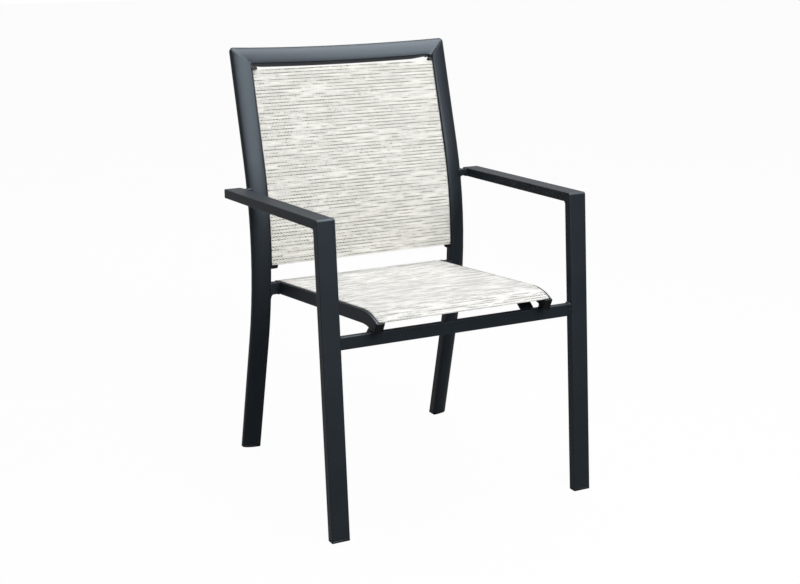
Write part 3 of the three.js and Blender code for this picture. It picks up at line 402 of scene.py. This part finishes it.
def beads(name, lines, finish=powder, slot="frame_coat", ripple=WELD_RIPPLE):
    """Round beads along lines of points, each with its radius in mm, half sunk in what lies beside them."""
    curve = bpy.data.curves.new(name + "_line", "CURVE")
    curve.dimensions, curve.bevel_depth, curve.bevel_resolution, curve.use_fill_caps = "3D", MM, 2, True
    for points, radius in lines:
        even = [points[0]]
        for a, b in zip(points, points[1:]):
            steps = max(1, round((b - a).length / (WELD_PITCH / WELD_STEPS)))
            even += [a.lerp(b, i / steps) for i in range(1, steps + 1)]
        closed = (even[0] - even[-1]).length < SAME_POINT
        if closed:
            even.pop()
        spline = curve.splines.new("POLY")
        spline.points.add(len(even) - 1)
        spline.use_cyclic_u = closed
        for i, (point, place) in enumerate(zip(spline.points, even)):
            swell = 1 + ripple * (math.sin(math.tau * i / WELD_STEPS) + 0.5 * math.sin(i * WELD_DRIFT))
            point.co, point.radius = (*place, 1.0), radius * swell
    rod = bpy.data.objects.new(name + "_line", curve)
    bpy.context.scene.collection.objects.link(rod)
    bm = bmesh.new()
    made = bpy.data.meshes.new_from_object(rod.evaluated_get(bpy.context.evaluated_depsgraph_get()))
    bm.from_mesh(made)
    bpy.data.objects.remove(rod)
    bpy.data.curves.remove(curve)
    bpy.data.meshes.remove(made)
    bmesh.ops.remove_doubles(bm, verts=bm.verts, dist=EXACT)
    bmesh.ops.recalc_face_normals(bm, faces=bm.faces)
    finished(name, bm, finish, slot, smooth=BEAD_SMOOTH)


for side, out in SIDES:
    arm, inner_corners = joined(("arm_" + side, "front_leg_" + side), ARM_ROUND, inward=(0, 1, -1))
    even_shading(finished("arm_and_leg_" + side, arm, powder, "frame_coat", "arm_" + side, "front_leg_" + side))
    beads("arm_and_leg_welds_" + side,
          [(line, ARM_BEAD) for line in inner_corners] + [(end_outline("front_rail", out), RAIL_BEAD)])
    stub = "arm_stub_" + side
    even_shading(finished(stub + "_coated", solid_of(stub), powder, "frame_coat", stub))
    beads("arm_stub_welds_" + side, [(end_outline(stub, out), STUB_BEAD),
                                     (end_outline(stub, -out, COPED_DEEP, COPED_TURNED), STUB_BEAD)])
even_shading(finished("front_rail_coated", solid_of("front_rail"), powder, "frame_coat", "front_rail"))

# ---------------------------------------------------------------------------------------------------------------------
# Seat frame: two extruded rails with a cloth groove in the top, turned down at the front, on stubs, blocks and a
# cross tube, and the flat oval bar that spreads them, held on slanted brackets.
# ---------------------------------------------------------------------------------------------------------------------
SEAT_BEAD = 1.7           # radius in mm
FILLET_REACH, FILLET_STEPS = 0.0095, 8
FILLET_SUNK, FILLET_INSET = 0.0006, 0.0010     # into the two tubes it joins, and in from the stub's front and rear


def weld_fillet(name, node, out):
    """The built-up weld under a stub's outer end, a bar whose hollow face rounds the corner with the upright."""
    stub = solid_of(node)
    outer, under = max(v.co.dot(out) for v in stub.verts), min(v.co.z for v in stub.verts)
    front, rear = min(v.co.y for v in stub.verts), max(v.co.y for v in stub.verts)
    stub.free()
    corner = Vector((out.x * (outer + FILLET_SUNK), front + FILLET_INSET, under + FILLET_SUNK))
    inner, lower = corner - out * FILLET_REACH, corner - Vector((0, 0, FILLET_REACH))
    hollow = [inner.lerp(corner, i / FILLET_STEPS).lerp(corner.lerp(lower, i / FILLET_STEPS), i / FILLET_STEPS)
              for i in range(FILLET_STEPS + 1)]
    bm = bmesh.new()
    face = bm.faces.new([bm.verts.new(point) for point in [corner] + hollow])
    made = bmesh.ops.extrude_face_region(bm, geom=[face])["geom"]
    bmesh.ops.translate(bm, verts=[v for v in made if isinstance(v, bmesh.types.BMVert)],
                        vec=(0.0, rear - front - 2 * FILLET_INSET, 0.0))
    bmesh.ops.recalc_face_normals(bm, faces=bm.faces)
    finished(name, bm, powder, "frame_coat")


for node in ("seat_rail_left", "seat_rail_right", "seat_stub_left", "seat_stub_right", "rear_cross_tube",
             "rail_block_left", "rail_block_right", "seat_spreader", "spreader_bracket_left",
             "spreader_bracket_right"):
    even_shading(finished(node + "_coated", solid_of(node), powder, "frame_coat", node))
for side, out in SIDES:
    ends = [("seat_stub_" + side, out), ("seat_stub_" + side, -out), ("rear_cross_tube", out), ("seat_spreader", out),
            ("rail_block_" + side, Vector((0, 0, -1)))]
    beads("seat_frame_welds_" + side, [(end_outline(node, way), SEAT_BEAD) for node, way in ends])
    weld_fillet("seat_stub_fillet_" + side, "seat_stub_" + side, out)

# ---------------------------------------------------------------------------------------------------------------------
# Black plastic: moulded end caps on the arms and seat rails, plugs in the grooves and rail ends, and the foot glides
# pushed into the legs. The rods in the cloth's hems are extruded from the same plastic.
# ---------------------------------------------------------------------------------------------------------------------
PLASTIC_DARK, PLASTIC_LIGHT = (0.0020, 0.0024, 0.0028), (0.0045, 0.0050, 0.0056)
PLASTIC_ROUGH = (0.50, 0.60)
PLASTIC_GLOSS = 0.03
PLUG_TIP, PLUG_LONGER = 0.2125, 0.0030   # the lower plugs' rounded tips, nearer the middle than this, reach further in

plastic = Finish("black_moulded_plastic")
place = plastic.node("TexCoord").outputs["Object"]
swirl = plastic.node("TexNoise", Vector=place, Scale=60.0, Detail=4.0, Distortion=0.4)
stipple = plastic.node("TexNoise", Vector=place, Scale=2600.0, Detail=1.0)
bump = plastic.node("Bump", Strength=0.3, Distance=0.0001, Height=stipple.outputs["Fac"])
plastic.show(plastic.node(
    "BsdfPrincipled",
    Base_Color=plastic.ramp(swirl.outputs["Fac"], ((0.3, PLASTIC_DARK), (0.7, PLASTIC_LIGHT))),
    Roughness=plastic.mapped(swirl.outputs["Fac"], low=PLASTIC_ROUGH[0], high=PLASTIC_ROUGH[1]),
    Specular_IOR_Level=PLASTIC_GLOSS,
    Normal=bump.outputs["Normal"],
))

for kind in ("front_glide", "rear_glide", "arm_cap", "seat_rail_cap", "seat_rail_plug", "groove_plug_top",
             "groove_plug_bottom"):
    for side, out in SIDES:
        node = kind + "_" + side
        shape = solid_of(node)
        if kind == "groove_plug_bottom":
            for v in shape.verts:
                if abs(v.co.x) < PLUG_TIP:
                    v.co -= out * PLUG_LONGER
        even_shading(finished(node + "_moulded", shape, plastic, "black_plastic", node))
for node in ("back_rod_left", "back_rod_right", "seat_rod_left", "seat_rod_right"):
    even_shading(finished(node + "_extruded", solid_of(node), plastic, "rod_plastic", node))

# ---------------------------------------------------------------------------------------------------------------------
# Back cloth: one cut of coated yarn woven into an open mesh, ivory with broken grey-beige rows. Its sides are locked
# in the uprights' grooves by the rods, and its top and bottom edges are folded over and stitched.
# ---------------------------------------------------------------------------------------------------------------------
ROW_SHIFT = 254.72        # in mm, as the sizes below: they were measured from a point this far in front of y = 0
CLOTH_THICK = 1.0
FOOT_Y, LOW_LEAN = 492.3, math.radians(13.4)           # the uprights' front inner corner at the ground, its lean there
BEND_START, BEND_RADIUS = 264.0, 766.0
CLOTH_BEHIND = 4.4        # the cloth's middle behind the uprights' front inner corner
UPRIGHT_HALF, UPRIGHT_SPLAY = 223.4, 0.0056            # half the gap between the uprights at the ground; less higher up
INTO_GROOVE = 1.0         # the cloth goes this far into the mouth of the groove
BACK_LOW, BACK_HIGH = 438.3, 845.0
BACK_ROWS, BACK_COLUMNS = 84, 60         # the cloth's mesh
HEM_DEEP, FOLD_RADIUS, FOLD_STEPS = 16.0, 0.58, 6
BACK_HEM_INSET = 3.0      # the folded part is this much narrower at each side, clear of the uprights
SHADOW_STRIP_RADIUS, SHADOW_STRIP_IN, SHADOW_STRIP_FORE = 1.2, 2.3, 1.8        # a thin black bead in front of the cloth's edge: painted shade, a dark strip for the shadow line between upright and cloth
STITCH_DOUBLINGS = 7      # 128 stitches in each row
STITCH_SHARE, STITCH_WIDE, STITCH_IN = 0.75, 0.8, 3.5  # a stitch's share of its pitch, its width, and in from the hem
ROW_PITCH = 0.0071        # from one strong row to the next, in metres as below
YARN = 0.0013             # from one yarn to the next
THREAD_TWIST = 0.0005     # from one strand of the sewing thread to the next
ROW_CORE = 0.22           # a row keeps its full tone this far from its middle, as a share of its height
WEAK_ROW = 0.35           # the second of each two rows has this much of the first one's fleck
ROW_JUMP, ROW_SLIP = 7.37, 0.27          # each row's streaks lie elsewhere, and its dots this share of a dot further on
DOT_EDGE = (-0.6, 0.7)    # the heights of a wave between which a dot begins
DOT_LEAST, DOT_RANGE = 0.4, 1.2          # the faintest dot, and what chance adds
RUB_BASE, RUB_YARN, RUB_FRAY = 0.55, 0.35, 0.9         # how much of the fleck shows, by itself, on yarns and in frays
YARN_SHADE, TWILL_SHADE = 0.05, 0.06
# The painted shade along the seat's front fold: how far from the fold it reaches, and how dark it gets.
FOLD_SHADE_REACH, FOLD_SHADE_AMOUNT = 0.0024, 0.34

BEND_TOP_Z = BEND_START + BEND_RADIUS * (math.sin(LOW_LEAN) + math.sin(TOP_LEAN))
BEND_TOP_Y = FOOT_Y - BEND_START * math.tan(LOW_LEAN) + BEND_RADIUS * (math.cos(LOW_LEAN) - math.cos(TOP_LEAN))


def upright_corner(z):
    """Where the uprights' front inner corner is at a height, and how far the upright leans back there."""
    if z >= BEND_TOP_Z:
        return BEND_TOP_Y + (z - BEND_TOP_Z) * math.tan(TOP_LEAN), TOP_LEAN
    lean = math.asin((z - BEND_START) / BEND_RADIUS - math.sin(LOW_LEAN))
    return FOOT_Y - BEND_START * math.tan(LOW_LEAN) + BEND_RADIUS * (math.cos(LOW_LEAN) - math.cos(lean)), lean


def back_line(count):
    """Points up the back cloth's middle: y, z, lean, and half the cloth's width there."""
    line = []
    for i in range(count + 1):
        z = BACK_LOW + (BACK_HIGH - BACK_LOW) * i / count
        y, lean = upright_corner(z)
        half = UPRIGHT_HALF - UPRIGHT_SPLAY * z + INTO_GROOVE
        line.append((y + CLOTH_BEHIND * math.cos(lean), z - CLOTH_BEHIND * math.sin(lean), lean, half))
    return line


def hemmed(line, inset):
    """The line of a cloth with both ends folded over behind it: y, z, lean, half the width, and the length so far."""
    middle = list(line)
    for _ in range(2):
        y0, z0, lean, half = middle[0]
        away = Vector((y0 - middle[1][0], z0 - middle[1][1])).normalized()
        behind = Vector((math.cos(lean), -math.sin(lean)))
        fold = []
        for i in range(1, FOLD_STEPS + 1):
            turn = math.pi * i / FOLD_STEPS
            at = Vector((y0, z0)) + FOLD_RADIUS * ((1 - math.cos(turn)) * behind + math.sin(turn) * away)
            fold.append((at.x, at.y, lean, half - inset * i / FOLD_STEPS))
        for y, z, lean, half in middle[1:]:
            if math.hypot(y - y0, z - z0) > HEM_DEEP:
                break
            fold.append((y + 2 * FOLD_RADIUS * math.cos(lean), z - 2 * FOLD_RADIUS * math.sin(lean),
                         lean, half - inset))
        middle = (fold[::-1] + middle)[::-1]
    run, far = [], 0.0
    for i, (y, z, lean, half) in enumerate(middle):
        far += math.hypot(y - middle[i - 1][0], z - middle[i - 1][1]) if i else 0.0
        run.append((y, z, lean, half, far))
    return run


def woven_sheet(name, line, across, finish, slot, node, inset):
    """One cut of cloth laid along a line, with thickness, folded hems at both ends and a UV map in metres."""
    run = hemmed(line, inset)
    bm = bmesh.new()
    bmesh.ops.create_grid(bm, x_segments=across, y_segments=len(run) - 1, size=1.0)
    uv = bm.loops.layers.uv.new("cloth")
    laid = {}
    for v in bm.verts:
        y, z, lean, half, far = run[round((v.co.y + 1) / 2 * (len(run) - 1))]
        laid[v] = (v.co.x * half * MM, far * MM)
        v.co = Vector((v.co.x * half, y - ROW_SHIFT, z)) * MM
    for face in bm.faces:
        for loop in face.loops:
            loop[uv].uv = laid[loop.vert]
    bmesh.ops.recalc_face_normals(bm, faces=bm.faces)
    piece = finished(name, bm, finish, slot, node, smooth=math.pi)
    wall = piece.modifiers.new("thickness", "SOLIDIFY")
    wall.thickness, wall.offset = CLOTH_THICK * MM, 0.0
    return piece, run[-1][4]


def stitching(name, line, inset, finish, slot):
    """The thread of both hems: a row of stitches on the cloth's face and one on the hem behind it."""
    bm = bmesh.new()
    for ordered in (line, line[::-1]):
        y0, z0 = ordered[0][:2]
        y, z, lean, half = next(at for at in ordered if math.hypot(at[0] - y0, at[1] - z0) >= HEM_DEEP - STITCH_IN)
        pitch = 2 * (half - inset) / 2 ** STITCH_DOUBLINGS
        for behind in (-CLOTH_THICK / 2, 2 * FOLD_RADIUS + CLOTH_THICK / 2):
            place = Vector((inset - half + pitch / 2, y - ROW_SHIFT + behind * math.cos(lean),
                            z - behind * math.sin(lean))) * MM
            shape = Matrix.Diagonal((STITCH_SHARE * pitch / 2 * MM, STITCH_WIDE / 3 * MM, STITCH_WIDE / 2 * MM, 1.0))
            row = bmesh.ops.create_uvsphere(bm, u_segments=8, v_segments=5, radius=1.0,
                                            matrix=Matrix.Translation(place) @ Matrix.Rotation(-lean, 4, "X") @ shape)
            row = with_parts(dict.fromkeys(f for v in row["verts"] for f in v.link_faces))
            for i in range(STITCH_DOUBLINGS):
                more = bmesh.ops.duplicate(bm, geom=row)["geom"]
                bmesh.ops.translate(bm, verts=[v for v in more if isinstance(v, bmesh.types.BMVert)],
                                    vec=(pitch * 2 ** i * MM, 0.0, 0.0))
                row = row + more
    return finished(name, bm, finish, slot, smooth=math.pi)


def woven(name, light, fleck, dot_pitch, dot_gap, streak_long, patch_wide, patch_tall, patch_share, spread, seed,
          fold=None):
    """Coated yarn woven in rows: light rows with broken, dotted rows of flecked yarn between them."""
    f = Finish(name)
    uv = f.node("UVMap", {"uv_map": "cloth"}).outputs["UV"]
    parts = f.node("SeparateXYZ", Vector=uv)
    u, v = parts.outputs["X"], parts.outputs["Y"]

    # The rows: how near its row's middle a place is, and whether the row is a strong one
    rows = f.over(v, ROW_PITCH / 2)
    row = f.math("FLOOR", rows)
    from_middle = f.math("ABSOLUTE", f.math("SUBTRACT", f.math("FRACT", rows), 0.5))
    band = f.mapped(from_middle, 0.5, ROW_CORE, curve="SMOOTHSTEP")
    strong = f.plus(WEAK_ROW, f.times(f.math("MODULO", row, 2.0), 1.0 - WEAK_ROW))

    # Where the fleck lies: in streaks along a row and in patches over several
    spot = f.node("CombineXYZ", X=f.over(u, streak_long), Y=f.times(row, ROW_JUMP), Z=seed)
    streak = f.node("TexNoise", Vector=spot.outputs[0], Scale=1.0, Detail=3.0, Roughness=0.6)
    spot = f.node("CombineXYZ", X=f.over(u, patch_wide), Y=f.over(v, patch_tall), Z=seed)
    patch = f.node("TexNoise", Vector=spot.outputs[0], Scale=1.0, Detail=4.0, Roughness=0.75)
    amount = f.plus(f.times(streak.outputs["Fac"], 1.0 - patch_share), f.times(patch.outputs["Fac"], patch_share))
    flecked = f.mapped(amount, *spread, curve="SMOOTHSTEP")

    # The dots that break a row, slanted, each as strong as chance makes it
    turn = f.plus(f.over(u, dot_pitch), f.times(row, ROW_SLIP))
    turn = f.plus(turn, f.over(v, ROW_PITCH))
    wave = f.mapped(f.math("SINE", f.times(turn, math.tau)), *DOT_EDGE, curve="SMOOTHSTEP")
    lowest = f.math("FLOOR", f.plus(turn, 0.25))        # chance changes where the wave is lowest
    cell = f.node("CombineXYZ", X=lowest, Y=row, Z=seed)
    chance = f.node("TexWhiteNoise", Vector=cell.outputs[0]).outputs["Value"]
    dots = f.times(wave, f.plus(DOT_LEAST, f.times(chance, DOT_RANGE)))
    dots = f.plus(dot_gap, f.times(dots, 1.0 - dot_gap))
    flecks = f.times(f.times(flecked, strong), f.times(band, dots))

    # The single yarns, their frays and the twill's slant
    yarns = f.times(f.math("SINE", f.over(u, YARN / math.tau)), f.math("SINE", f.over(v, YARN / math.tau)))
    fray = f.node("TexNoise", Vector=uv, Scale=1.0 / YARN, Detail=1.0)
    rubbed = f.plus(RUB_BASE, f.plus(f.times(yarns, RUB_YARN), f.times(fray.outputs["Fac"], RUB_FRAY)))
    shade = f.plus(f.times(flecks, rubbed), f.times(yarns, YARN_SHADE))
    slant = f.plus(f.over(u, dot_pitch / math.tau), f.over(v, ROW_PITCH / math.tau))
    shade = f.plus(shade, f.times(f.plus(f.math("SINE", slant), 1.0), TWILL_SHADE), clamp=True)
    if fold is not None:                    # painted shade: a grey line where the cloth turns under
        from_fold = f.math("ABSOLUTE", f.math("SUBTRACT", v, fold))
        fold_shade = f.mapped(from_fold, FOLD_SHADE_REACH, FOLD_SHADE_REACH / 2, 0.0, FOLD_SHADE_AMOUNT, curve="SMOOTHSTEP")
        shade = f.plus(shade, fold_shade, clamp=True)

    bump = f.node("Bump", Strength=0.5, Distance=0.0003, Height=yarns)
    f.show(f.node("BsdfPrincipled", Base_Color=f.ramp(shade, ((0.0, light), (1.0, fleck))), Roughness=0.75,
                  Specular_IOR_Level=0.03, Sheen_Weight=0.05, Normal=bump.outputs["Normal"]))
    return f


def sewing_thread(name, dark, light):
    """Twisted sewing thread, its strands slanted along the stitch, with painted shade in the grooves between them."""
    f = Finish(name)
    parts = f.node("SeparateXYZ", Vector=f.node("TexCoord").outputs["Object"])
    along = f.plus(parts.outputs["X"], parts.outputs["Z"])
    strands = f.times(f.plus(f.math("SINE", f.times(along, math.tau / THREAD_TWIST)), 1.0), 0.5)
    bump = f.node("Bump", Strength=0.4, Distance=0.0001, Height=strands)
    # The grooves between strands are darker than their crowns, by the same wave as the bump: painted shade.
    f.show(f.node("BsdfPrincipled", Base_Color=f.ramp(strands, ((0.2, dark), (0.8, light))), Roughness=0.7,
                  Specular_IOR_Level=0.15, Normal=bump.outputs["Normal"]))
    return f


back_weave = woven("back_weave", light=(0.98, 0.968, 0.918), fleck=(0.036, 0.035, 0.0), dot_pitch=0.0070,
                   dot_gap=0.25, streak_long=0.060, patch_wide=0.150, patch_tall=0.0100, patch_share=0.42,
                   spread=(0.395, 0.545), seed=3.0)
thread = sewing_thread("hem_thread", dark=(0.42, 0.41, 0.38), light=(0.62, 0.61, 0.57))
back_path = back_line(BACK_ROWS)
back_cloth, back_long = woven_sheet("back_cloth", back_path, BACK_COLUMNS, back_weave, "back_cloth", "back_sling",
                                    BACK_HEM_INSET)
back_stitches = stitching("back_stitches", back_path, BACK_HEM_INSET, thread, "back_cloth")
# Along each side, a dark bead just in front of the cloth: painted shade for the shadow line where the cloth meets the
# upright.
for side, out in SIDES:
    shadow_strip = [Vector((out.x * (half - SHADOW_STRIP_IN), y - ROW_SHIFT - SHADOW_STRIP_FORE * math.cos(lean),
                    z + SHADOW_STRIP_FORE * math.sin(lean))) * MM for y, z, lean, half in back_path]
    beads("back_shadow_strip_" + side, [(shadow_strip, SHADOW_STRIP_RADIUS)], plastic, "rod_plastic", ripple=0.0)

# ---------------------------------------------------------------------------------------------------------------------
# Seat cloth: a second cut of the same weave over the seat rails, locked in the grooves in their tops. It runs level
# from the rear stubs, turns down with the rails at the front and ends just short of the rail caps.
# ---------------------------------------------------------------------------------------------------------------------
RAIL_REAR_TOP, RAIL_SLOPE, RAIL_REAR_Y = 398.3, 0.0905, 427.0      # the rails' top at their rear ends, in mm
TURN_Y, TURN_Z, TURN_RADIUS = 13.73, 310.19, 125.0     # the centre and radius of the turn at the front
TURN_START_Y = 25.0
SEAT_REAR_Y, SEAT_FRONT_Y = 426.0, -39.5
SEAT_ROWS, SEAT_COLUMNS = 96, 56         # the cloth's mesh
SEAT_CLEAR = 0.8          # the cloth's middle over the rails' top
RAIL_INNER_HALF, GROOVE_IN, RAIL_TOE_IN = 186.37, 11.2, 0.01635    # rails at their rear, groove in them, toe-in
GROOVE_HALF = RAIL_INNER_HALF + GROOVE_IN
SEAT_HEM_INSET = 13.0     # the folded part ends clear of the rails


def seat_line(count):
    """Points along the seat cloth from the rear to the front: y, z, lean of its normal, half the width there."""
    line = []
    for i in range(count + 1):
        y = SEAT_REAR_Y + (SEAT_FRONT_Y - SEAT_REAR_Y) * i / count
        if y >= TURN_START_Y:
            z, tilt = RAIL_REAR_TOP + RAIL_SLOPE * (RAIL_REAR_Y - y), math.atan(RAIL_SLOPE)
        else:
            tilt = math.asin((y - TURN_Y) / TURN_RADIUS)
            z = TURN_Z + TURN_RADIUS * math.cos(tilt)
        half = GROOVE_HALF - RAIL_TOE_IN * (RAIL_REAR_Y - y)
        line.append((y + SEAT_CLEAR * math.sin(tilt), z + SEAT_CLEAR * math.cos(tilt), math.pi / 2 - tilt, half))
    return line


seat_path = seat_line(SEAT_ROWS)
front_fold = min(hemmed(seat_path, SEAT_HEM_INSET))[4] * MM     # the length to where the cloth reaches furthest forward
seat_weave = woven("seat_weave", light=(0.97, 0.962, 0.932), fleck=(0.12, 0.118, 0.095), dot_pitch=0.0068,
                   dot_gap=0.70, streak_long=0.060, patch_wide=0.070, patch_tall=0.012, patch_share=0.72,
                   spread=(0.44, 0.56), seed=11.0, fold=front_fold)
seat_cloth, seat_long = woven_sheet("seat_cloth", seat_path, SEAT_COLUMNS, seat_weave, "seat_cloth", "seat_sling",
                                    SEAT_HEM_INSET)
seat_stitches = stitching("seat_stitches", seat_path, SEAT_HEM_INSET, thread, "seat_cloth")
